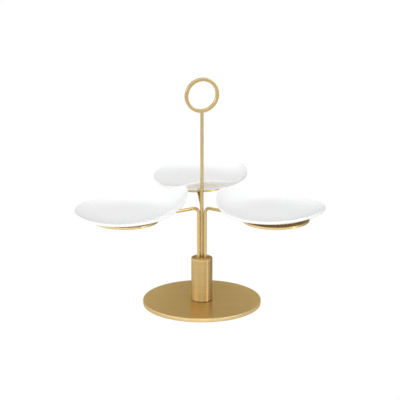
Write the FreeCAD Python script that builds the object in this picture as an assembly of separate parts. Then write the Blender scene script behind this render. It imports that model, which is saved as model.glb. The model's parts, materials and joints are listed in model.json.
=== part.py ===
import FreeCAD, Part
import math
import os

from FreeCAD import Vector

# Three-dish cake stand, in millimetres. The origin is on the stand's axis, on the
# surface it stands on. +Z is up, and the rear arm points along +Y.

# Foot: a felt sheet, a round plate and the screw that pulls the hub down on it
BASE_PAD_RADIUS = 71.0
BASE_PAD_THICKNESS = 1.0
BASE_RADIUS = 75.0
BASE_THICKNESS = 5.0
BASE_EDGE_CHAMFER = 0.5
SCREW_RADIUS = 3.0
SCREW_HEAD_RADIUS = 6.2
SCREW_HEAD_SINK = 0.2
SCREW_REACH_IN_HUB = 16.0
SCREW_SOCKET_ACROSS_FLATS = 4.0
SCREW_SOCKET_DEPTH = 2.4
SCREW_CLEARANCE = 0.25

# Hub: a solid post with a blind hole for each rod
HUB_RADIUS = 13.5
HUB_HEIGHT = 56.0
HUB_TOP_CHAMFER = 0.8
HUB_BOTTOM_CHAMFER = 0.3
ROD_HOLE_DEPTH = 26.0
ROD_HOLE_TIP_GAP = 1.0
SCREW_HOLE_TIP_GAP = 2.0
JOINT_GAP = 0.05

# Rods: the three arms and the handle's rod are the same wire
ROD_RADIUS = 2.0
ARM_CIRCLE_RADIUS = 4.8
ARM_BEND_RADIUS = 7.0
ARM_AXIS_HEIGHT = 128.5
ARM_REACH_PAST_DISC_CENTRE = 22.0

# Handle: a flat ring, turned about the rod, on a spigot turned on the rod's end
RING_CENTRE_HEIGHT = 274.2
RING_OUTER_RADIUS = 22.4
RING_INNER_RADIUS = 18.0
RING_THICKNESS = 3.2
RING_TURN = 18.0
RING_EDGE_CHAMFER = 0.3
SPIGOT_RADIUS = 0.9
SPIGOT_HOLE_TIP_GAP = 0.2
SPIGOT_LENGTH = 3.2

# Support discs: a groove in the underside takes the arm
DISC_RADIUS = 42.0
DISC_THICKNESS = 3.0
DISC_UNDERSIDE = 128.7
DISC_EDGE_CHAMFER = 0.35

# Soft rings between the discs and the dishes
DISH_PAD_OUTER_RADIUS = 32.0
DISH_PAD_INNER_RADIUS = 24.0
DISH_PAD_THICKNESS = 0.8

# Dishes: an egg-shaped shallow leaf, widest beyond its foot, nearly flat inside and
# raised at its inner end. Reach and width are measured to the middle of the wall.
DISH_OUTER_REACH = 59.7
DISH_INNER_REACH = 80.7
DISH_HALF_WIDTH = 58.4
DISH_EGG = 0.18
DISH_WALL = 3.2
DISH_RIM_ROUNDING = 0.8
DISH_FLOOR_RISE = 3.1
DISH_SIDE_RISE = 7.4
DISH_END_RISE = 1.4
DISH_LIP_RISE = 14.9
DISH_LIP_SHARPNESS = 7
DISH_WALL_CURVE = 5.0
FOOT_OUTER_RADIUS = 30.0
FOOT_INNER_RADIUS = 26.0

# The arms are bent and brazed by hand, so each has its own direction in degrees and
# its own reach from the axis to its disc's centre. Its dish is loose and hand-made: it
# is turned a few degrees from the arm's line and set down a few millimetres off the
# disc's centre (outwards, across), and its rim leans a few degrees over its level foot
# (outwards, across).
RIGHT = {"direction": -30.5, "reach": 106.3, "turn": -5.5, "shift": (-2.0, 2.3), "lean": (3.1, -0.6)}
REAR = {"direction": 93.6, "reach": 104.6, "turn": 1.4, "shift": (-0.3, -4.7), "lean": (1.5, -3.5)}
LEFT = {"direction": 209.5, "reach": 108.9, "turn": -8.5, "shift": (1.3, -0.8), "lean": (-1.7, 0.4)}
SIDES = {"right": RIGHT, "rear": REAR, "left": LEFT}

# Drawing aids: how far cutters and blocks run past what they cut, and how finely the
# dish's surface is drawn
OVERRUN = 5.0
BLOCK_HEIGHT = 60.0
OUTLINE_POINTS = 48
SURFACE_COLUMNS = 33
SURFACE_ROWS = 29
SURFACE_MARGIN_ALONG = 1.06
SURFACE_MARGIN_ACROSS = 1.16

# Heights that follow from the sizes above
BASE_TOP = BASE_PAD_THICKNESS + BASE_THICKNESS
HUB_TOP = BASE_TOP + HUB_HEIGHT
DISC_TOP = DISC_UNDERSIDE + DISC_THICKNESS
DISH_SEAT = DISC_TOP + DISH_PAD_THICKNESS
UP = Vector(0, 0, 1)


def rod_along(start, end, radius):
    """A straight round rod between two points."""
    run = end - start
    return Part.makeCylinder(radius, run.Length, start, run)


def circular_edges(shape, radius, height):
    """The edges of one circle about the Z axis, found by radius and height."""
    found = []
    for edge in shape.Edges:
        if not isinstance(edge.Curve, Part.Circle):
            continue
        if abs(edge.Curve.Radius - radius) < 0.01 and abs(edge.Curve.Center.z - height) < 0.01:
            found.append(edge)
    return found


def arm_path(bottom_height, reach):
    """The arm's centre line in the XZ plane: up, round the bend and outwards."""
    bend_start = Vector(ARM_CIRCLE_RADIUS, 0, ARM_AXIS_HEIGHT - ARM_BEND_RADIUS)
    bend_end = Vector(ARM_CIRCLE_RADIUS + ARM_BEND_RADIUS, 0, ARM_AXIS_HEIGHT)
    lean = ARM_BEND_RADIUS * math.sqrt(0.5)
    bend_middle = Vector(bend_end.x - lean, 0, bend_start.z + lean)
    leg = Part.LineSegment(Vector(ARM_CIRCLE_RADIUS, 0, bottom_height), bend_start)
    bend = Part.Arc(bend_start, bend_middle, bend_end)
    tip = Vector(reach + ARM_REACH_PAST_DISC_CENTRE, 0, ARM_AXIS_HEIGHT)
    level = Part.LineSegment(bend_end, tip)
    return Part.Wire([leg.toShape(), bend.toShape(), level.toShape()])


def make_arm(reach):
    bottom_height = HUB_TOP - ROD_HOLE_DEPTH + ROD_HOLE_TIP_GAP
    foot = Vector(ARM_CIRCLE_RADIUS, 0, bottom_height)
    section = Part.Wire(Part.makeCircle(ROD_RADIUS, foot, UP))
    return arm_path(bottom_height, reach).makePipeShell([section], True, False)


def make_support_disc(reach):
    centre = Vector(reach, 0, DISC_UNDERSIDE)
    disc = Part.makeCylinder(DISC_RADIUS, DISC_THICKNESS, centre)
    rims = circular_edges(disc, DISC_RADIUS, DISC_UNDERSIDE)
    rims += circular_edges(disc, DISC_RADIUS, DISC_TOP)
    disc = disc.makeChamfer(DISC_EDGE_CHAMFER, rims)
    inner_end = Vector(reach - DISC_RADIUS - OVERRUN, 0, ARM_AXIS_HEIGHT)
    arm_tip = reach + ARM_REACH_PAST_DISC_CENTRE + JOINT_GAP
    groove = rod_along(inner_end, Vector(arm_tip, 0, ARM_AXIS_HEIGHT), ROD_RADIUS + JOINT_GAP)
    return disc.cut(groove)


def make_dish_pad(place):
    centre = place + Vector(0, 0, DISC_TOP)
    pad = Part.makeCylinder(DISH_PAD_OUTER_RADIUS, DISH_PAD_THICKNESS, centre)
    return pad.cut(Part.makeCylinder(DISH_PAD_INNER_RADIUS, DISH_PAD_THICKNESS, centre))


# The dish is drawn with its foot's centre at the origin and +X pointing outwards.
DISH_HALF_LENGTH = (DISH_OUTER_REACH + DISH_INNER_REACH) / 2
DISH_CENTRE = (DISH_OUTER_REACH - DISH_INNER_REACH) / 2


def dish_outline(grow):
    """The egg-shaped plan outline, moved outwards by grow, as a wire of four quarters."""
    points = []
    for step in range(OUTLINE_POINTS):
        angle = 2 * math.pi * step / OUTLINE_POINTS
        x = DISH_CENTRE + (DISH_HALF_LENGTH + grow) * math.cos(angle)
        y = (DISH_HALF_WIDTH + grow) * math.sin(angle) * (1 + DISH_EGG * math.cos(angle))
        points.append(Vector(x, y, 0))
    curve = Part.BSplineCurve()
    curve.interpolate(points, PeriodicFlag=True)
    start = curve.FirstParameter
    quarter = (curve.LastParameter - start) / 4
    quarters = []
    for step in range(4):
        quarters.append(curve.toShape(start + step * quarter, start + (step + 1) * quarter))
    return Part.Wire(quarters)


def dish_height(x, y, lean):
    """Height of the middle of the wall above the foot's underside."""
    along = (x - DISH_CENTRE) / DISH_HALF_LENGTH
    across = y / (DISH_HALF_WIDTH * (1 + DISH_EGG * along))
    out = math.hypot(along, across)
    if out == 0:
        return DISH_FLOOR_RISE
    heading = along / out
    rim = DISH_SIDE_RISE + DISH_END_RISE * heading ** 2
    rim += DISH_LIP_RISE * ((1 - heading) / 2) ** DISH_LIP_SHARPNESS
    rim += math.tan(math.radians(lean[0])) * (DISH_CENTRE + DISH_HALF_LENGTH * heading)
    rim += math.tan(math.radians(lean[1])) * y / out
    return DISH_FLOOR_RISE + (rim - DISH_FLOOR_RISE) * out ** DISH_WALL_CURVE


def below_dish_surface(offset, lean):
    """Everything under the wall's middle surface moved up by offset, as a thick block."""
    half_along = SURFACE_MARGIN_ALONG * DISH_HALF_LENGTH
    half_across = SURFACE_MARGIN_ACROSS * DISH_HALF_WIDTH
    grid = []
    for column in range(SURFACE_COLUMNS):
        x = DISH_CENTRE + half_along * (2 * column / (SURFACE_COLUMNS - 1) - 1)
        line = []
        for row in range(SURFACE_ROWS):
            y = half_across * (2 * row / (SURFACE_ROWS - 1) - 1)
            line.append(Vector(x, y, dish_height(x, y, lean) + offset))
        grid.append(line)
    surface = Part.BSplineSurface()
    surface.interpolate(grid)
    return surface.toShape().extrude(Vector(0, 0, -BLOCK_HEIGHT))


def make_dish(lean):
    plan = Part.Face(dish_outline(DISH_WALL / 2))
    plan.translate(Vector(0, 0, -OVERRUN))
    column = plan.extrude(Vector(0, 0, BLOCK_HEIGHT))
    shell = column.common(below_dish_surface(DISH_WALL / 2, lean))
    shell = shell.cut(below_dish_surface(-DISH_WALL / 2, lean))
    rim_edges = [edge for edge in shell.Edges if edge.Length > 2 * DISH_WALL]
    shell = shell.makeFillet(DISH_RIM_ROUNDING, rim_edges)
    foot = Part.makeCylinder(FOOT_OUTER_RADIUS, DISH_FLOOR_RISE + OVERRUN)
    foot = foot.cut(Part.makeCylinder(FOOT_INNER_RADIUS, DISH_FLOOR_RISE + OVERRUN))
    foot = foot.common(below_dish_surface(0, lean))
    return shell.fuse(foot)


def make_base_plate():
    underside = Vector(0, 0, BASE_PAD_THICKNESS)
    plate = Part.makeCylinder(BASE_RADIUS, BASE_THICKNESS, underside)
    rims = circular_edges(plate, BASE_RADIUS, BASE_PAD_THICKNESS)
    rims += circular_edges(plate, BASE_RADIUS, BASE_TOP)
    plate = plate.makeChamfer(BASE_EDGE_CHAMFER, rims)
    sink_radius = SCREW_HEAD_RADIUS + SCREW_HEAD_SINK + JOINT_GAP
    hole_radius = SCREW_RADIUS + SCREW_CLEARANCE
    countersink = Part.makeCone(sink_radius, hole_radius, sink_radius - hole_radius, underside)
    plate = plate.cut(countersink)
    return plate.cut(Part.makeCylinder(hole_radius, BASE_THICKNESS, underside))


def make_base_screw():
    head_face = Vector(0, 0, BASE_PAD_THICKNESS + SCREW_HEAD_SINK)
    head_height = SCREW_HEAD_RADIUS - SCREW_RADIUS
    screw = Part.makeCone(SCREW_HEAD_RADIUS, SCREW_RADIUS, head_height, head_face)
    tip_height = BASE_TOP + SCREW_REACH_IN_HUB
    screw = screw.fuse(rod_along(head_face, Vector(0, 0, tip_height), SCREW_RADIUS)).removeSplitter()
    corner = SCREW_SOCKET_ACROSS_FLATS / math.sqrt(3)
    corners = []
    for step in range(7):
        angle = math.radians(60 * step)
        corners.append(head_face + Vector(corner * math.cos(angle), corner * math.sin(angle), 0))
    socket = Part.Face(Part.makePolygon(corners)).extrude(Vector(0, 0, SCREW_SOCKET_DEPTH))
    return screw.cut(socket)


def make_hub():
    foot = Vector(0, 0, BASE_TOP)
    hub = Part.makeCylinder(HUB_RADIUS, HUB_HEIGHT, foot)
    hub = hub.makeChamfer(HUB_TOP_CHAMFER, circular_edges(hub, HUB_RADIUS, HUB_TOP))
    hub = hub.makeChamfer(HUB_BOTTOM_CHAMFER, circular_edges(hub, HUB_RADIUS, BASE_TOP))
    hub = hub.cut(Part.makeCylinder(SCREW_RADIUS + JOINT_GAP, SCREW_REACH_IN_HUB + SCREW_HOLE_TIP_GAP, foot))
    hole_bottom = HUB_TOP - ROD_HOLE_DEPTH
    places = [Vector(0, 0, hole_bottom)]
    for side in SIDES.values():
        angle = math.radians(side["direction"])
        x = ARM_CIRCLE_RADIUS * math.cos(angle)
        y = ARM_CIRCLE_RADIUS * math.sin(angle)
        places.append(Vector(x, y, hole_bottom))
    for place in places:
        hub = hub.cut(Part.makeCylinder(ROD_RADIUS + JOINT_GAP, ROD_HOLE_DEPTH + OVERRUN, place))
    return hub


def turned_ring_cylinder(radius, thickness):
    """A cylinder about the ring's own axis, which lies flat and is turned by RING_TURN."""
    cylinder = Part.makeCylinder(radius, thickness, Vector(0, thickness / 2, 0), Vector(0, -1, 0))
    cylinder.rotate(Vector(0, 0, 0), UP, RING_TURN)
    cylinder.translate(Vector(0, 0, RING_CENTRE_HEIGHT))
    return cylinder


def make_handle_rod():
    ring_underside = RING_CENTRE_HEIGHT - RING_OUTER_RADIUS
    bottom = Vector(0, 0, HUB_TOP - ROD_HOLE_DEPTH + ROD_HOLE_TIP_GAP)
    rod = rod_along(bottom, Vector(0, 0, RING_CENTRE_HEIGHT - RING_INNER_RADIUS), ROD_RADIUS)
    rod = rod.cut(turned_ring_cylinder(RING_OUTER_RADIUS + JOINT_GAP, RING_THICKNESS + OVERRUN))
    spigot_foot = Vector(0, 0, ring_underside - SPIGOT_LENGTH)
    spigot = rod_along(spigot_foot, Vector(0, 0, ring_underside + SPIGOT_LENGTH), SPIGOT_RADIUS)
    return rod.fuse(spigot)


def make_handle_ring():
    ring = turned_ring_cylinder(RING_OUTER_RADIUS, RING_THICKNESS)
    ring = ring.cut(turned_ring_cylinder(RING_INNER_RADIUS, RING_THICKNESS + OVERRUN))
    face_edges = [edge for edge in ring.Edges if isinstance(edge.Curve, Part.Circle)]
    ring = ring.makeChamfer(RING_EDGE_CHAMFER, face_edges)
    underside = RING_CENTRE_HEIGHT - RING_OUTER_RADIUS
    hole_foot = Vector(0, 0, underside - OVERRUN)
    hole_top = Vector(0, 0, underside + SPIGOT_LENGTH + SPIGOT_HOLE_TIP_GAP)
    return ring.cut(rod_along(hole_foot, hole_top, SPIGOT_RADIUS + JOINT_GAP))


def put_on_side(shape, direction):
    """A copy of a piece drawn along +X, turned to one arm's direction."""
    placed = shape.copy()
    placed.rotate(Vector(0, 0, 0), UP, direction)
    return placed


nodes = {
    "base_pad": Part.makeCylinder(BASE_PAD_RADIUS, BASE_PAD_THICKNESS),
    "base_plate": make_base_plate(),
    "base_screw": make_base_screw(),
    "hub": make_hub(),
    "handle_rod": make_handle_rod(),
    "handle_ring": make_handle_ring(),
}

for name, side in SIDES.items():
    reach = side["reach"]
    direction = side["direction"]
    dish_place = Vector(reach + side["shift"][0], side["shift"][1], 0)
    nodes["arm_" + name] = put_on_side(make_arm(reach), direction)
    nodes["support_disc_" + name] = put_on_side(make_support_disc(reach), direction)
    nodes["dish_pad_" + name] = put_on_side(make_dish_pad(dish_place), direction)
    dish = make_dish(side["lean"])
    dish.rotate(Vector(0, 0, 0), UP, side["turn"])
    dish.translate(dish_place + Vector(0, 0, DISH_SEAT))
    nodes["dish_" + name] = put_on_side(dish, direction)

os.makedirs("parts", exist_ok=True)
for name, shape in nodes.items():
    if not shape.isValid() or len(shape.Solids) != 1:
        raise ValueError(name + " is not one valid solid")
    shape.exportStep("parts/" + name + ".step")
    box = shape.BoundBox
    print(name, round(shape.Volume), "mm3, z", round(box.ZMin, 2), "to", round(box.ZMax, 2))
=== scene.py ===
import json
import math

import bmesh
import bpy
from mathutils import Matrix, Vector


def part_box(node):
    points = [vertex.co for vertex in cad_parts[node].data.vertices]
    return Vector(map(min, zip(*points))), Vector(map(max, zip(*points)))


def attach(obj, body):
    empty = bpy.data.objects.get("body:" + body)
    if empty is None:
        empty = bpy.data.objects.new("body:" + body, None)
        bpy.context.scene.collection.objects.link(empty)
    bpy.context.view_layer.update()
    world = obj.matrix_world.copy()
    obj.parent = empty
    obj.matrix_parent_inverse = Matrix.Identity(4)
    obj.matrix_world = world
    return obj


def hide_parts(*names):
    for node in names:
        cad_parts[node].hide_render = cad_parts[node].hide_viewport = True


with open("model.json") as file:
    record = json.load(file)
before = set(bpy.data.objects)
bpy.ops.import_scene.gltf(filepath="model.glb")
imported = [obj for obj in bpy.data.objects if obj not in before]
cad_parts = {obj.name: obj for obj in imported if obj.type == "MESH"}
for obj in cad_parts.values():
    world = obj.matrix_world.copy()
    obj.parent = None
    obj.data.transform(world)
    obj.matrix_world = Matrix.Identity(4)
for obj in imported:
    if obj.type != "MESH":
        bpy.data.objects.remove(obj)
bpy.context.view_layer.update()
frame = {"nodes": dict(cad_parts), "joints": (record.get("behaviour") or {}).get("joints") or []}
nodes = frame["nodes"]

# ---------------------------------------------------------------------------
# The felt sheet: 1 mm of pressed wool, die-cut round and glued under the foot.
# It hides the screw and keeps the metal off the table.
FELT_COLOUR = (0.035, 0.033, 0.031, 1)
FELT_PALE = (0.085, 0.080, 0.074, 1)
FELT_FIBRES_PER_METRE = 1400
FELT_FIBRES_PER_TUFT = 9
FELT_NAP = 0.0004


def new_material(name):
    """An empty node material with its shader, for a section to fill in."""
    material = bpy.data.materials.new(name)
    material.use_nodes = True
    tree = material.node_tree
    shader = tree.nodes["Principled BSDF"]
    return material, tree, shader


def object_place(tree):
    """Place in metres on the finished object."""
    return tree.nodes.new("ShaderNodeTexCoord").outputs["Object"]


def noise(tree, vector, scale, detail=2.0, roughness=0.5):
    """A noise texture on the given coordinates; returns its grey output."""
    texture = tree.nodes.new("ShaderNodeTexNoise")
    texture.inputs["Scale"].default_value = scale
    texture.inputs["Detail"].default_value = detail
    texture.inputs["Roughness"].default_value = roughness
    tree.links.new(vector, texture.inputs["Vector"])
    return texture.outputs["Fac"]


def spread(tree, value, low, high, low_out, high_out):
    """Maps a grey value from one range to another."""
    node = tree.nodes.new("ShaderNodeMapRange")
    node.inputs["From Min"].default_value = low
    node.inputs["From Max"].default_value = high
    node.inputs["To Min"].default_value = low_out
    node.inputs["To Max"].default_value = high_out
    tree.links.new(value, node.inputs["Value"])
    return node.outputs["Result"]


def blend_colours(tree, factor, first, second):
    """Mixes two colours, or a colour socket and a colour, by a grey value."""
    node = tree.nodes.new("ShaderNodeMix")
    node.data_type = "RGBA"
    tree.links.new(factor, node.inputs["Factor"])
    for value, socket in ((first, node.inputs["A"]), (second, node.inputs["B"])):
        if isinstance(value, bpy.types.NodeSocket):
            tree.links.new(value, socket)
        else:
            socket.default_value = value
    return node.outputs["Result"]


def bump(tree, shader, height, distance, strength):
    """Raises the surface's shading by a grey value, over a distance in metres."""
    node = tree.nodes.new("ShaderNodeBump")
    node.inputs["Distance"].default_value = distance
    node.inputs["Strength"].default_value = strength
    tree.links.new(height, node.inputs["Height"])
    tree.links.new(node.outputs["Normal"], shader.inputs["Normal"])


felt, tree, shader = new_material("pressed wool felt")
place = object_place(tree)
fibres = noise(tree, place, FELT_FIBRES_PER_METRE, detail=4, roughness=0.7)
tufts = noise(tree, place, FELT_FIBRES_PER_METRE / FELT_FIBRES_PER_TUFT, detail=2)
colour = blend_colours(tree, spread(tree, fibres, 0.3, 0.7, 0, 1), FELT_COLOUR, FELT_PALE)
colour = blend_colours(tree, spread(tree, tufts, 0.35, 0.75, 0, 0.5), colour, FELT_COLOUR)
tree.links.new(colour, shader.inputs["Base Color"])
tree.links.new(spread(tree, fibres, 0, 1, 0.85, 1), shader.inputs["Roughness"])
shader.inputs["Sheen Weight"].default_value = 0.4
shader.inputs["Sheen Roughness"].default_value = 0.6
bump(tree, shader, fibres, FELT_NAP, 0.8)
nodes["base_pad"].material_slots[0].material = felt

# ---------------------------------------------------------------------------
# The foot: a round plate turned from 5 mm brass, its edges broken, its top
# brushed straight across and lacquered. A screw from below holds the hub on it.
PLATE_HOLE = 0.00325
PLATE_EDGE = 0.0006
PLATE_EDGE_BAND = 0.0016
PLATE_STEPS = 240
EDGE_SEGMENTS = 3
SHARP_DEGREES = 40
SAME_POINT = 1e-7
CLOSE = 1e-5

BRASS = (0.680, 0.495, 0.225, 1)
BRASS_GREEN = (0.640, 0.500, 0.235, 1)
BRASS_DEEP = (0.600, 0.430, 0.180, 1)
BRASS_EDGE = (0.800, 0.640, 0.350, 1)
# Painted shade: a near-black brass for the shadow in the seam where the hub meets the foot.
BRASS_PAINTED_SHADE = (0.130, 0.085, 0.025, 1)
BRASS_SLANT = (0.860, 0.660, 0.320, 1)
HAIRLINES_PER_METRE = 3600
STREAKS_PER_METRE = 420
GRAIN_STRETCH = 0.006
HANDLING_PER_METRE = 38
LACQUER_ROUGHNESS = 0.18
BLUR_LIFT = 0.35


def turned(profile, steps):
    """Spins a profile of (radius, height) points once round Z. A point on the axis closes."""
    bm = bmesh.new()
    points = [bm.verts.new((radius, 0, height)) for radius, height in profile]
    edges = [bm.edges.new(pair) for pair in zip(points, points[1:])]
    if profile[0][0] > 0:
        edges.append(bm.edges.new((points[-1], points[0])))
    bmesh.ops.spin(
        bm, geom=points + edges, cent=(0, 0, 0), axis=(0, 0, 1),
        angle=2 * math.pi, steps=steps, use_merge=True,
    )
    bmesh.ops.remove_doubles(bm, verts=bm.verts, dist=SAME_POINT)
    bmesh.ops.recalc_face_normals(bm, faces=bm.faces)
    return bm


def ring_edges(bm, radius, height):
    """The edges of one circle of a turned piece, while it still stands on Z."""
    def on_circle(vert):
        reach = math.hypot(vert.co.x, vert.co.y)
        return abs(reach - radius) < CLOSE and abs(vert.co.z - height) < CLOSE
    return [edge for edge in bm.edges if all(on_circle(vert) for vert in edge.verts)]


def break_edges(bm, edges, width, wear_and_shade=1):
    """Rounds edges and marks them: 1 for a polished, worn edge and -1 for painted shade, the shadow in
    a seam where parts meet.
    """
    mark = bm.verts.layers.float.get("edge") or bm.verts.layers.float.new("edge")
    rounded = bmesh.ops.bevel(
        bm, geom=edges, offset=width, offset_type="OFFSET", segments=EDGE_SEGMENTS,
        profile=0.5, affect="EDGES", material=-1,
    )
    for vert in rounded["verts"]:
        vert[mark] = wear_and_shade


def lay_grain(bm, place):
    """Stores where each point is in the brushing: two quick directions, then the slow one."""
    grain = bm.verts.layers.float_vector.new("grain")
    for vert in bm.verts:
        vert[grain] = place(vert.co)


def across(co):
    """Brushed straight, from left to right."""
    return (co.y, co.z, co.x)


def around(co):
    """Brushed round the piece's axis, which stands on Z."""
    return (math.hypot(co.x, co.y), co.z, co.x + co.y)


def as_piece(bm, name, material, sharp_degrees=SHARP_DEGREES):
    """Makes the finished object, smooth but for its sharp corners."""
    mesh = bpy.data.meshes.new(name)
    bm.to_mesh(mesh)
    bm.free()
    mesh.materials.append(material)
    mesh.polygons.foreach_set("use_smooth", [True] * len(mesh.polygons))
    mesh.set_sharp_from_angle(angle=math.radians(sharp_degrees))
    piece = bpy.data.objects.new(name, mesh)
    bpy.context.scene.collection.objects.link(piece)
    return piece


def satin_brass(name, smoothest, roughest, hairline_depth, lacquer, blur=0, blur_turn=0, tone=BRASS):
    """Lacquered brass, brushed along the piece's own grain, brighter where edges are broken and
    darkened as painted shade where a seam is marked.

    blur spreads reflections across the grooves, in the direction that blur_turn gives.
    """
    material, tree, shader = new_material(name)
    grain = tree.nodes.new("ShaderNodeAttribute")
    grain.attribute_name = "grain"
    stretch = tree.nodes.new("ShaderNodeMapping")
    stretch.inputs["Scale"].default_value = (1, 1, GRAIN_STRETCH)
    tree.links.new(grain.outputs["Vector"], stretch.inputs["Vector"])
    along = stretch.outputs["Vector"]
    hairlines = noise(tree, along, HAIRLINES_PER_METRE, detail=2, roughness=0.6)
    streaks = noise(tree, along, STREAKS_PER_METRE, detail=3, roughness=0.6)
    place = object_place(tree)
    handling = noise(tree, place, HANDLING_PER_METRE, detail=3, roughness=0.55)

    shade = blend_colours(tree, spread(tree, streaks, 0.3, 0.7, 0, 0.75), tone, BRASS_DEEP)
    shade = blend_colours(tree, spread(tree, hairlines, 0.35, 0.65, 0, 0.3), shade, BRASS_DEEP)
    edge = tree.nodes.new("ShaderNodeAttribute")
    edge.attribute_name = "edge"
    worn = spread(tree, edge.outputs["Fac"], 0.2, 1, 0, 0.55)
    shade = blend_colours(tree, worn, shade, BRASS_EDGE)
    # Painted shade: a negative edge mark darkens the brass almost to black, standing in for the shadow
    # where two parts meet.
    painted_seam_shade = spread(tree, edge.outputs["Fac"], -0.1, -0.8, 0, 0.85)
    shade = blend_colours(tree, painted_seam_shade, shade, BRASS_PAINTED_SHADE)
    tree.links.new(shade, shader.inputs["Base Color"])

    gloss = tree.nodes.new("ShaderNodeMath")
    gloss.operation = "ADD"
    tree.links.new(spread(tree, hairlines, 0.3, 0.7, smoothest, roughest), gloss.inputs[0])
    tree.links.new(spread(tree, handling, 0.35, 0.7, -0.015, 0.015), gloss.inputs[1])
    tree.links.new(gloss.outputs["Value"], shader.inputs["Roughness"])
    shader.inputs["Metallic"].default_value = 1
    shader.inputs["Specular Tint"].default_value = BRASS_SLANT
    shader.inputs["Coat Weight"].default_value = lacquer
    shader.inputs["Coat Roughness"].default_value = LACQUER_ROUGHNESS
    shader.inputs["Anisotropic"].default_value = blur
    shader.inputs["Anisotropic Rotation"].default_value = blur_turn
    bump(tree, shader, hairlines, hairline_depth, 0.35)
    return material


plate_low, plate_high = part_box("base_plate")
plate_radius = plate_high.x
plate_band = plate_radius - PLATE_EDGE_BAND
foot_profile = [
    (PLATE_HOLE, plate_low.z),
    (plate_band, plate_low.z),
    (plate_radius, plate_low.z),
    (plate_radius, plate_high.z),
    (plate_band, plate_high.z),
    (PLATE_HOLE, plate_high.z),
]
bm = turned(foot_profile, PLATE_STEPS)
rims = ring_edges(bm, plate_radius, plate_low.z) + ring_edges(bm, plate_radius, plate_high.z)
break_edges(bm, rims, PLATE_EDGE)
lay_grain(bm, across)
foot_brass = satin_brass(
    "satin brass, foot", smoothest=0.30, roughest=0.40, hairline_depth=0.00002, lacquer=0.2, blur=0.75,
)
# The brushing runs along X, so reflections blur along Y. The lift gives the plate's
# wall a direction to blur in too, where the wall faces along Y.
tree = foot_brass.node_tree
blur_way = tree.nodes.new("ShaderNodeCombineXYZ")
blur_way.inputs["Y"].default_value = 1
blur_way.inputs["Z"].default_value = BLUR_LIFT
tree.links.new(blur_way.outputs["Vector"], tree.nodes["Principled BSDF"].inputs["Tangent"])
foot = as_piece(bm, "foot_plate", foot_brass)
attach(foot, "stand")
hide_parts("base_plate")

# ---------------------------------------------------------------------------
# The base screw: a countersunk machine screw of steel, zinc-plated. It goes up
# through the foot into the hub, and is seen only with the felt off.
ZINC = (0.50, 0.50, 0.52, 1)
ZINC_DULL = (0.36, 0.36, 0.38, 1)
SPANGLES_PER_METRE = 700

zinc, tree, shader = new_material("zinc plate")
place = object_place(tree)
spangle = noise(tree, place, SPANGLES_PER_METRE, detail=3)
tree.links.new(
    blend_colours(tree, spread(tree, spangle, 0.35, 0.65, 0, 1), ZINC, ZINC_DULL),
    shader.inputs["Base Color"],
)
tree.links.new(spread(tree, spangle, 0.3, 0.7, 0.3, 0.45), shader.inputs["Roughness"])
shader.inputs["Metallic"].default_value = 1
bump(tree, shader, spangle, 0.00002, 0.3)
nodes["base_screw"].material_slots[0].material = zinc

# ---------------------------------------------------------------------------
# The hub: a brass post turned and brushed round its axis, with a broken top
# edge. Four holes with lightly countersunk mouths take the rods.
HUB_TOP_EDGE = 0.0009
HUB_FOOT_EDGE = 0.0005
HUB_BAND = 0.0012
HUB_STEPS = 144
ROD_RADIUS = 0.002
ROD_HOLE_RADIUS = 0.00205
ROD_HOLE_MOUTH = 0.00030
ROD_HOLE_DEPTH = 0.0265
ROD_HOLE_STEPS = 40
ARM_CIRCLE = 0.0048


def disc_centre(side):
    """The middle of one support disc."""
    low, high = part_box("support_disc_" + side)
    return (low + high) / 2


def side_direction(side):
    """The angle of one arm, from the axis to its disc."""
    centre = disc_centre(side)
    return math.atan2(centre.y, centre.x)


SIDES = ("left", "right", "rear")
hub_low, hub_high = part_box("hub")
hub_radius = hub_high.x
hub_profile = [
    (0, hub_low.z),
    (hub_radius - HUB_BAND, hub_low.z),
    (hub_radius, hub_low.z),
    (hub_radius, hub_low.z + HUB_BAND),
    (hub_radius, hub_high.z - 2 * HUB_BAND),
    (hub_radius, hub_high.z),
    (hub_radius - 2 * HUB_BAND, hub_high.z),
    (0, hub_high.z),
]
bm = turned(hub_profile, HUB_STEPS)
break_edges(bm, ring_edges(bm, hub_radius, hub_high.z), HUB_TOP_EDGE)
# The hub's foot edge gets painted shade, a dark line standing in for the shadow where the post meets
# the plate.
break_edges(bm, ring_edges(bm, hub_radius, hub_low.z), HUB_FOOT_EDGE, wear_and_shade=-1)
lay_grain(bm, around)
hub_brass = satin_brass(
    "satin brass, hub", smoothest=0.46, roughest=0.54, hairline_depth=0.00003, lacquer=0.3,
    blur=0.9, blur_turn=0.25,
)
hub = as_piece(bm, "hub_post", hub_brass)

drill_profile = [
    (0, -ROD_HOLE_DEPTH),
    (ROD_HOLE_RADIUS, -ROD_HOLE_DEPTH),
    (ROD_HOLE_RADIUS, -ROD_HOLE_MOUTH),
    (ROD_HOLE_RADIUS + 2 * ROD_HOLE_MOUTH, ROD_HOLE_MOUTH),
    (0, ROD_HOLE_MOUTH),
]
hole_places = [Vector((0, 0, hub_high.z))]
for side in SIDES:
    angle = side_direction(side)
    aside = Vector((math.cos(angle), math.sin(angle), 0)) * ARM_CIRCLE
    hole_places.append(aside + Vector((0, 0, hub_high.z)))
for hole_place in hole_places:
    bm = turned(drill_profile, ROD_HOLE_STEPS)
    bmesh.ops.translate(bm, verts=bm.verts, vec=hole_place)
    drill = as_piece(bm, "drill", hub_brass)
    cut = hub.modifiers.new("rod hole", "BOOLEAN")
    cut.object = drill
    cut.solver = "EXACT"
    graph = bpy.context.evaluated_depsgraph_get()
    drilled = bpy.data.meshes.new_from_object(hub.evaluated_get(graph))
    hub.modifiers.clear()
    hub.data = drilled
    bpy.data.objects.remove(drill)
hub.data.set_sharp_from_angle(angle=math.radians(SHARP_DEGREES))
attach(hub, "stand")
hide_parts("hub")

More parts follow.
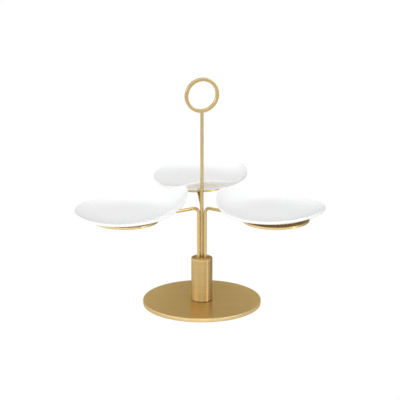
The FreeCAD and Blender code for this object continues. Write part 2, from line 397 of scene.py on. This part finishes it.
# ---------------------------------------------------------------------------
# The arms: 4 mm brass wire, drawn and brushed along its length. Each stands in
# the hub, turns through one bend and runs out level under its disc.
ARM_BEND = 0.007
ARM_BEND_STEPS = 18
WIRE_SIDES = 36
WIRE_TIP_EDGE = 0.0003
ARM_PAST_DISC = 0.022


def wire_start(x, z):
    """The wire's closed lower end, standing at (x, 0, z), and its free edges."""
    bm = bmesh.new()
    place = Matrix.Translation((x, 0, z))
    bmesh.ops.create_circle(bm, cap_ends=True, segments=WIRE_SIDES, radius=ROD_RADIUS, matrix=place)
    return bm, list(bm.edges)


def draw_out(bm, loop, vec, pieces):
    """Extrudes a loop of edges along vec in equal lengths; returns the new end."""
    for _ in range(pieces):
        made = bmesh.ops.extrude_edge_only(bm, edges=loop)["geom"]
        verts = [item for item in made if isinstance(item, bmesh.types.BMVert)]
        bmesh.ops.translate(bm, verts=verts, vec=Vector(vec) / pieces)
        loop = [item for item in made if isinstance(item, bmesh.types.BMEdge)]
        loop = [edge for edge in loop if all(vert in verts for vert in edge.verts)]
    return loop


wire_brass = satin_brass(
    "satin brass, wire", smoothest=0.20, roughest=0.30, hairline_depth=0.00002, lacquer=0.2,
    tone=BRASS_GREEN,
)
arm_low, arm_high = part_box("arm_rear")
arm_axis = arm_high.z - ROD_RADIUS
bend_foot = arm_axis - ARM_BEND
bend_centre = Vector((ARM_CIRCLE + ARM_BEND, 0, bend_foot))


def along_arm(co):
    """Place on the arm's surface: two directions across the wire, then its length."""
    if co.z <= bend_foot:
        return (co.x - ARM_CIRCLE, co.y, co.z)
    if co.x >= bend_centre.x:
        length = bend_foot + ARM_BEND * math.pi / 2 + co.x - bend_centre.x
        return (arm_axis - co.z, co.y, length)
    turn = math.atan2(co.z - bend_foot, bend_centre.x - co.x)
    out = math.hypot(co.z - bend_foot, bend_centre.x - co.x)
    return (ARM_BEND - out, co.y, bend_foot + ARM_BEND * turn)


for side in SIDES:
    tip_reach = disc_centre(side).xy.length + ARM_PAST_DISC
    bm, loop = wire_start(ARM_CIRCLE, arm_low.z)
    loop = draw_out(bm, loop, (0, 0, bend_foot - arm_low.z), pieces=3)
    bent = bmesh.ops.spin(
        bm, geom=loop, cent=bend_centre, axis=(0, 1, 0),
        angle=math.pi / 2, steps=ARM_BEND_STEPS,
    )["geom_last"]
    loop = [item for item in bent if isinstance(item, bmesh.types.BMEdge)]
    loop = draw_out(bm, loop, (tip_reach - bend_centre.x, 0, 0), pieces=3)
    bmesh.ops.edgeloop_fill(bm, edges=loop)
    bmesh.ops.remove_doubles(bm, verts=bm.verts, dist=SAME_POINT)
    bmesh.ops.recalc_face_normals(bm, faces=bm.faces)
    tip = [edge for edge in bm.edges if all(tip_reach - v.co.x < CLOSE for v in edge.verts)]
    break_edges(bm, tip, WIRE_TIP_EDGE)
    lay_grain(bm, along_arm)
    bmesh.ops.rotate(
        bm, verts=bm.verts, cent=(0, 0, 0), matrix=Matrix.Rotation(side_direction(side), 3, "Z"),
    )
    arm = as_piece(bm, "wire_arm_" + side, wire_brass)
    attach(arm, "stand")
    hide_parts("arm_" + side)

# ---------------------------------------------------------------------------
# The handle: a straight length of the same wire, fixed in the hub's middle hole,
# and a flat ring turned from 3.2 mm brass, pressed on a spigot at the wire's top.
RING_TURN_DEGREES = 18
RING_BAND_WIDTH = 0.0044
RING_THICKNESS = 0.0032
RING_STEPS = 144
RING_EDGE = 0.00045
RING_BAND = 0.0009
ROD_INTO_RING = 0.0003

rod_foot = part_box("handle_rod")[0].z
ring_low, ring_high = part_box("handle_ring")
ring_radius = (ring_high.z - ring_low.z) / 2
ring_bore = ring_radius - RING_BAND_WIDTH
ring_half = RING_THICKNESS / 2
ring_centre = (ring_high.z + ring_low.z) / 2

bm, loop = wire_start(0, rod_foot)
loop = draw_out(bm, loop, (0, 0, ring_low.z + ROD_INTO_RING - rod_foot), pieces=4)
bmesh.ops.edgeloop_fill(bm, edges=loop)
bmesh.ops.recalc_face_normals(bm, faces=bm.faces)
lay_grain(bm, lambda co: (co.x, co.y, co.z))
rod = as_piece(bm, "handle_wire", wire_brass)
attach(rod, "stand")
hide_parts("handle_rod")

ring_profile = [
    (ring_bore, -ring_half),
    (ring_bore + RING_BAND, -ring_half),
    (ring_radius - RING_BAND, -ring_half),
    (ring_radius, -ring_half),
    (ring_radius, ring_half),
    (ring_radius - RING_BAND, ring_half),
    (ring_bore + RING_BAND, ring_half),
    (ring_bore, ring_half),
]
bm = turned(ring_profile, RING_STEPS)
corners = []
for radius in (ring_bore, ring_radius):
    for height in (-ring_half, ring_half):
        corners += ring_edges(bm, radius, height)
break_edges(bm, corners, RING_EDGE)
lay_grain(bm, around)
stand_up = Matrix.Rotation(math.pi / 2, 3, "X")
turn_aside = Matrix.Rotation(math.radians(RING_TURN_DEGREES), 3, "Z")
bmesh.ops.rotate(bm, verts=bm.verts, cent=(0, 0, 0), matrix=turn_aside @ stand_up)
bmesh.ops.translate(bm, verts=bm.verts, vec=(0, 0, ring_centre))
ring_brass = satin_brass(
    "satin brass, ring", smoothest=0.22, roughest=0.32, hairline_depth=0.00003, lacquer=0.1,
    tone=BRASS_GREEN,
)
ring = as_piece(bm, "carrying_ring", ring_brass)
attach(ring, "stand")
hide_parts("handle_ring")

# ---------------------------------------------------------------------------
# The support discs: 3 mm brass, turned and brushed round. Each is brazed on its
# arm along a half-round groove in the underside.
DISC_EDGE = 0.0004
DISC_BAND = 0.0009
DISC_STEPS = 160

disc_low, disc_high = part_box("support_disc_rear")
disc_radius = (disc_high.x - disc_low.x) / 2
disc_brass = satin_brass(
    "satin brass, discs", smoothest=0.36, roughest=0.46, hairline_depth=0.00003, lacquer=0.2,
    blur=0.8, blur_turn=0.25, tone=BRASS_GREEN,
)
disc_profile = [
    (0, disc_low.z),
    (disc_radius - DISC_BAND, disc_low.z),
    (disc_radius, disc_low.z),
    (disc_radius, disc_high.z),
    (disc_radius - DISC_BAND, disc_high.z),
    (0, disc_high.z),
]
for side in SIDES:
    bm = turned(disc_profile, DISC_STEPS)
    rims = ring_edges(bm, disc_radius, disc_low.z) + ring_edges(bm, disc_radius, disc_high.z)
    break_edges(bm, rims, DISC_EDGE)
    lay_grain(bm, around)
    centre = disc_centre(side)
    bmesh.ops.translate(bm, verts=bm.verts, vec=(centre.x, centre.y, 0))
    disc = as_piece(bm, "disc_" + side, disc_brass)
    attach(disc, "stand")
    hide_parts("support_disc_" + side)

# ---------------------------------------------------------------------------
# The soft rings: thin milky silicone, moulded matt, that lie between each disc
# and its dish so that glaze never slides on metal.
SILICONE = (0.78, 0.78, 0.75, 1)
SILICONE_DUSTY = (0.70, 0.70, 0.67, 1)
MOULD_GRAIN_PER_METRE = 2600
DUST_PER_METRE = 120

silicone, tree, shader = new_material("milky silicone")
place = object_place(tree)
moulding = noise(tree, place, MOULD_GRAIN_PER_METRE, detail=2)
dust = noise(tree, place, DUST_PER_METRE, detail=3)
tree.links.new(
    blend_colours(tree, spread(tree, dust, 0.4, 0.7, 0, 1), SILICONE, SILICONE_DUSTY),
    shader.inputs["Base Color"],
)
tree.links.new(spread(tree, moulding, 0.3, 0.7, 0.5, 0.62), shader.inputs["Roughness"])
shader.inputs["Subsurface Weight"].default_value = 0.2
shader.inputs["Subsurface Scale"].default_value = 0.002
bump(tree, shader, moulding, 0.00003, 0.4)
for side in SIDES:
    nodes["dish_pad_" + side].material_slots[0].material = silicone

# ---------------------------------------------------------------------------
# The dishes: slip-cast white porcelain, clear-glazed, egg-shaped and shallow. The
# inner end is pulled up in a lip. Each stands on a turned foot ring, wiped bare
# of glaze, and lies loose on its disc, turned a few degrees by hand.
OUTER_REACH = 0.0597
INNER_REACH = 0.0807
HALF_WIDTH = 0.0584
EGG = 0.18
WALL = 0.0032
LIP_ROUNDING = 0.0011
FLOOR_RISE = 0.0031
SIDE_RISE = 0.0074
END_RISE = 0.0014
LIP_RISE = 0.0149
LIP_SHARPNESS = 7
WALL_CURVE = 5.0
FOOT_OUTER = 0.030
FOOT_INNER = 0.026
FOOT_EDGE = 0.0006
DISH_TURN_DEGREES = {"left": -8.5, "right": -5.5, "rear": 1.4}
RIM_LEAN_DEGREES = {"left": (-1.7, 0.4), "right": (3.1, -0.6), "rear": (1.5, -3.5)}
DISH_SPOKES = 132
SPOKE_ROUND_OFF = 0.0001
FOLD_DEGREES = 50
RIM_PAST_FOOT = 0.01
SOFT_DEGREES = 80
INNER_RINGS = (0, 0.005, 0.010, 0.015, 0.020, 0.024, FOOT_INNER, FOOT_OUTER, 0.0325)
OUTER_RINGS = (0.12, 0.26, 0.40, 0.53, 0.64, 0.74, 0.82, 0.89, 0.95, 1.0)

GLAZE = (0.800, 0.800, 0.796, 1)
GLAZE_COOL = (0.782, 0.790, 0.794, 1)
GLAZE_THIN = (0.822, 0.818, 0.808, 1)
BISQUE = (0.74, 0.71, 0.66, 1)
BISQUE_SPECK = (0.60, 0.56, 0.50, 1)
CLOUDS_PER_METRE = 26
WAVES_PER_METRE = 75
PINHOLES_PER_METRE = 1500
PINHOLE_SHARE = 0.02
SPECKS_PER_METRE = 2200

half_length = (OUTER_REACH + INNER_REACH) / 2
plan_centre = (OUTER_REACH - INNER_REACH) / 2


def rim_point(angle):
    """The outside of the rim in plan, seen from the foot's centre."""
    x = plan_centre + (half_length + WALL / 2) * math.cos(angle)
    y = (HALF_WIDTH + WALL / 2) * math.sin(angle) * (1 + EGG * math.cos(angle))
    return Vector((x, y, 0))


def foot_centre(side):
    """Where one dish's foot stands: the axis that the dish turns about."""
    for joint in frame["joints"]:
        if joint["name"] == side + "_dish_turn":
            return Vector(joint["pos_m"])
    raise KeyError(side)


def wall_height(x, y, lean):
    """Height of the middle of the wall above the foot's underside, with the rim's lean."""
    along = (x - plan_centre) / half_length
    sideways = y / (HALF_WIDTH * (1 + EGG * along))
    out = math.hypot(along, sideways)
    heading = along / out if out > 0 else 0
    rim = SIDE_RISE + END_RISE * heading ** 2
    rim += LIP_RISE * ((1 - heading) / 2) ** LIP_SHARPNESS
    if out > 0:
        rim += math.tan(math.radians(lean[0])) * (plan_centre + half_length * heading)
        rim += math.tan(math.radians(lean[1])) * y / out
    return FLOOR_RISE + (rim - FLOOR_RISE) * out ** WALL_CURVE


def cast_dish(lean):
    """One dish at the origin with its outer end along +X."""
    bm = bmesh.new()
    ring_count = len(INNER_RINGS) + len(OUTER_RINGS)
    spoke = [bm.verts.new((number, 0, 0)) for number in range(ring_count)]
    edges = [bm.edges.new(pair) for pair in zip(spoke, spoke[1:])]
    bmesh.ops.spin(
        bm, geom=spoke + edges, cent=(0, 0, 0), axis=(0, 0, 1),
        angle=2 * math.pi, steps=DISH_SPOKES, use_merge=True,
    )
    bmesh.ops.remove_doubles(bm, verts=bm.verts, dist=SPOKE_ROUND_OFF)
    for vert in bm.verts:
        number = round(vert.co.length)
        rim = rim_point(math.atan2(vert.co.y, vert.co.x))
        if number < len(INNER_RINGS):
            reach = INNER_RINGS[number]
        else:
            share = OUTER_RINGS[number - len(INNER_RINGS)]
            reach = INNER_RINGS[-1] + share * (rim.length - INNER_RINGS[-1])
        flat = rim.normalized() * reach
        vert.co = (flat.x, flat.y, wall_height(flat.x, flat.y, lean) + WALL / 2)
    bmesh.ops.recalc_face_normals(bm, faces=bm.faces)
    made = bmesh.ops.extrude_face_region(bm, geom=list(bm.faces))["geom"]
    under = [item for item in made if isinstance(item, bmesh.types.BMVert)]
    bmesh.ops.translate(bm, verts=under, vec=(0, 0, -WALL))
    under_faces = [item for item in made if isinstance(item, bmesh.types.BMFace)]
    foot_band = []
    for face in under_faces:
        middle = face.calc_center_median()
        if FOOT_INNER < math.hypot(middle.x, middle.y) < FOOT_OUTER:
            foot_band.append(face)
    made = bmesh.ops.extrude_face_region(bm, geom=foot_band)["geom"]
    bmesh.ops.delete(bm, geom=foot_band, context="FACES")
    for item in made:
        if isinstance(item, bmesh.types.BMVert):
            item.co.z = 0
    bmesh.ops.recalc_face_normals(bm, faces=bm.faces)
    rim_edges = []
    foot_edges = []
    for edge in bm.edges:
        if len(edge.link_faces) != 2 or edge.calc_face_angle(0) < math.radians(FOLD_DEGREES):
            continue
        if max(vert.co.z for vert in edge.verts) < CLOSE:
            foot_edges.append(edge)
        elif edge.verts[0].co.xy.length > FOOT_OUTER + RIM_PAST_FOOT:
            rim_edges.append(edge)
    bmesh.ops.bevel(
        bm, geom=rim_edges, offset=LIP_ROUNDING, offset_type="OFFSET", segments=5,
        profile=0.5, affect="EDGES", material=-1,
    )
    bmesh.ops.bevel(
        bm, geom=foot_edges, offset=FOOT_EDGE, offset_type="OFFSET", segments=2,
        profile=0.5, affect="EDGES", material=-1,
    )
    bmesh.ops.recalc_face_normals(bm, faces=bm.faces)
    for face in bm.faces:
        if max(vert.co.z for vert in face.verts) < FOOT_EDGE + CLOSE:
            face.material_index = 1
    return bm


glaze, tree, shader = new_material("clear glaze on white porcelain")
place = object_place(tree)
clouding = noise(tree, place, CLOUDS_PER_METRE, detail=3, roughness=0.55)
waviness = noise(tree, place, WAVES_PER_METRE, detail=1)
pinholes = noise(tree, place, PINHOLES_PER_METRE, detail=2, roughness=0.6)
colour = blend_colours(tree, spread(tree, clouding, 0.35, 0.65, 0, 1), GLAZE, GLAZE_COOL)
colour = blend_colours(tree, spread(tree, waviness, 0.55, 0.8, 0, 0.6), colour, GLAZE_THIN)
tree.links.new(colour, shader.inputs["Base Color"])
tree.links.new(spread(tree, clouding, 0.3, 0.7, 0.10, 0.17), shader.inputs["Roughness"])
shader.inputs["IOR"].default_value = 1.5
shader.inputs["Coat Weight"].default_value = 0.3
shader.inputs["Coat Roughness"].default_value = 0.06
heights = tree.nodes.new("ShaderNodeMath")
heights.operation = "MULTIPLY_ADD"
heights.inputs[1].default_value = PINHOLE_SHARE
tree.links.new(pinholes, heights.inputs[0])
tree.links.new(waviness, heights.inputs[2])
bump(tree, shader, heights.outputs["Value"], 0.0006, 0.12)

bisque, tree, shader = new_material("bare bisque")
place = object_place(tree)
specks = noise(tree, place, SPECKS_PER_METRE, detail=3, roughness=0.7)
tree.links.new(
    blend_colours(tree, spread(tree, specks, 0.55, 0.72, 0, 1), BISQUE, BISQUE_SPECK),
    shader.inputs["Base Color"],
)
tree.links.new(spread(tree, specks, 0.3, 0.7, 0.8, 0.95), shader.inputs["Roughness"])
bump(tree, shader, specks, 0.0001, 0.5)

for side in SIDES:
    bm = cast_dish(RIM_LEAN_DEGREES[side])
    turn = side_direction(side) + math.radians(DISH_TURN_DEGREES[side])
    bmesh.ops.rotate(bm, verts=bm.verts, cent=(0, 0, 0), matrix=Matrix.Rotation(turn, 3, "Z"))
    centre = foot_centre(side)
    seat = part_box("dish_pad_" + side)[1].z
    bmesh.ops.translate(bm, verts=bm.verts, vec=(centre.x, centre.y, seat))
    dish = as_piece(bm, "porcelain_dish_" + side, glaze, sharp_degrees=SOFT_DEGREES)
    dish.data.materials.append(bisque)
    fair = dish.modifiers.new("fair the curves", "SUBSURF")
    fair.levels = 1
    fair.render_levels = 1
    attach(dish, side + "_dish")
    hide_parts("dish_" + side)

# ---------------------------------------------------------------------------
# The setting: a plain pale floor, white to look at, whose colour for other light is
# painted: a pool of painted light near the stand, painted shade far away and a painted
# shadow behind on the right; and three soft lights in a pale room that is
# brightest overhead and, low down, at the front left.
FLOOR_HALF = 9.0
FLOOR_SEEN = 1.02
# Painted light and shade on the floor: bright near the stand, painted shade farther off, and a painted
# shadow in the right rear corner.
FLOOR_NEAR_PAINTED_LIGHT = (0.95, 0.95, 0.95, 1)
FLOOR_FAR_PAINTED_SHADE = (0.60, 0.60, 0.60, 1)
FLOOR_PAINTED_SHADOW = (0.32, 0.32, 0.32, 1)
FAR_BETWEEN = (0.25, 1.1)
RIGHT_BETWEEN = (0.03, 0.18)
BEHIND_BETWEEN = (-0.06, 0.12)
ROOM_LOW = 0.48
ROOM_HIGH = 1.20
FRONT_GLOW = 1.60
GLOW_FROM = (-0.6, -0.8, 0)
OVERHEAD_BETWEEN = (0.45, 0.85)
FRONT_BETWEEN = (-0.3, 0.5)
LOW_BETWEEN = (0.45, 0.25)

bm = bmesh.new()
bmesh.ops.create_grid(bm, x_segments=2, y_segments=2, size=FLOOR_HALF)
floor_paint, tree, shader = new_material("pale floor")
place = object_place(tree)
apart = tree.nodes.new("ShaderNodeSeparateXYZ")
tree.links.new(place, apart.inputs["Vector"])
distance = tree.nodes.new("ShaderNodeVectorMath")
distance.operation = "LENGTH"
tree.links.new(place, distance.inputs[0])
# Painted light and shade: a painted pool of light that fades with distance, then a painted shadow
# behind on the right.
painted_falloff = spread(tree, distance.outputs["Value"], *FAR_BETWEEN, 0, 1)
right = spread(tree, apart.outputs["X"], *RIGHT_BETWEEN, 0, 1)
behind = spread(tree, apart.outputs["Y"], *BEHIND_BETWEEN, 0, 1)
painted_shadow_corner = tree.nodes.new("ShaderNodeMath")
painted_shadow_corner.operation = "MULTIPLY"
tree.links.new(right, painted_shadow_corner.inputs[0])
tree.links.new(behind, painted_shadow_corner.inputs[1])
paint = blend_colours(tree, painted_falloff, FLOOR_NEAR_PAINTED_LIGHT, FLOOR_FAR_PAINTED_SHADE)
paint = blend_colours(tree, painted_shadow_corner.outputs["Value"], paint, FLOOR_PAINTED_SHADOW)
tree.links.new(paint, shader.inputs["Base Color"])
shader.inputs["Roughness"].default_value = 0.9
shader.inputs["Specular IOR Level"].default_value = 0
pale = tree.nodes.new("ShaderNodeEmission")
pale.inputs["Strength"].default_value = FLOOR_SEEN
seen = tree.nodes.new("ShaderNodeMixShader")
light_path = tree.nodes.new("ShaderNodeLightPath")
tree.links.new(light_path.outputs["Is Camera Ray"], seen.inputs[0])
tree.links.new(shader.outputs["BSDF"], seen.inputs[1])
tree.links.new(pale.outputs["Emission"], seen.inputs[2])
tree.links.new(seen.outputs["Shader"], tree.nodes["Material Output"].inputs["Surface"])
floor = as_piece(bm, "floor", floor_paint)


def soft_light(name, place, aim, width, height, watts):
    """A rectangular soft light at place, turned to aim."""
    lamp = bpy.data.lights.new(name, "AREA")
    lamp.shape = "RECTANGLE"
    lamp.size = width
    lamp.size_y = height
    lamp.energy = watts
    holder = bpy.data.objects.new(name, lamp)
    holder.location = place
    holder.rotation_euler = (Vector(aim) - Vector(place)).to_track_quat("-Z", "Y").to_euler()
    bpy.context.scene.collection.objects.link(holder)


soft_light(
    "overhead", place=(-0.1, -0.4, 1.8), aim=(0, 0, 0.1), width=1.8, height=1.8, watts=5.5,
)
soft_light(
    "front right strip", place=(1.1, -0.60, 0.40), aim=(0, 0, 0.10), width=0.25, height=1.2, watts=4,
)
soft_light(
    "left window", place=(-1.3, -0.7, 0.9), aim=(-0.5, -0.3, 0), width=0.9, height=0.9, watts=3,
)

room = bpy.data.worlds.new("pale room")
room.use_nodes = True
bpy.context.scene.world = room
tree = room.node_tree
direction = tree.nodes.new("ShaderNodeTexCoord").outputs["Generated"]
apart = tree.nodes.new("ShaderNodeSeparateXYZ")
tree.links.new(direction, apart.inputs["Vector"])
height = spread(tree, apart.outputs["Z"], *OVERHEAD_BETWEEN, ROOM_LOW, ROOM_HIGH)
facing = tree.nodes.new("ShaderNodeVectorMath")
facing.operation = "DOT_PRODUCT"
facing.inputs[1].default_value = GLOW_FROM
tree.links.new(direction, facing.inputs[0])
front = spread(tree, facing.outputs["Value"], *FRONT_BETWEEN, 0, FRONT_GLOW)
low = spread(tree, apart.outputs["Z"], *LOW_BETWEEN, 0, 1)
glow = tree.nodes.new("ShaderNodeMath")
glow.operation = "MULTIPLY_ADD"
tree.links.new(front, glow.inputs[0])
tree.links.new(low, glow.inputs[1])
tree.links.new(height, glow.inputs[2])
tree.links.new(glow.outputs["Value"], tree.nodes["Background"].inputs["Strength"])
tree.nodes["Background"].inputs["Color"].default_value = (1, 1, 1, 1)

# The camera stands three metres in front and looks down at seventeen degrees.
CAMERA_PLACE = (-0.0024, -3.0, 1.061)
CAMERA_PITCH = 0.2985
CAMERA_LENS = 224.2
SENSOR_WIDTH = 36

camera_data = bpy.data.cameras.new("camera")
camera_data.lens = CAMERA_LENS
camera_data.sensor_width = SENSOR_WIDTH
camera = bpy.data.objects.new("camera", camera_data)
camera.location = CAMERA_PLACE
camera.rotation_euler = (math.pi / 2 - CAMERA_PITCH, 0, 0)
bpy.context.scene.collection.objects.link(camera)
bpy.context.scene.camera = camera
bpy.context.scene.view_settings.view_transform = "Standard"
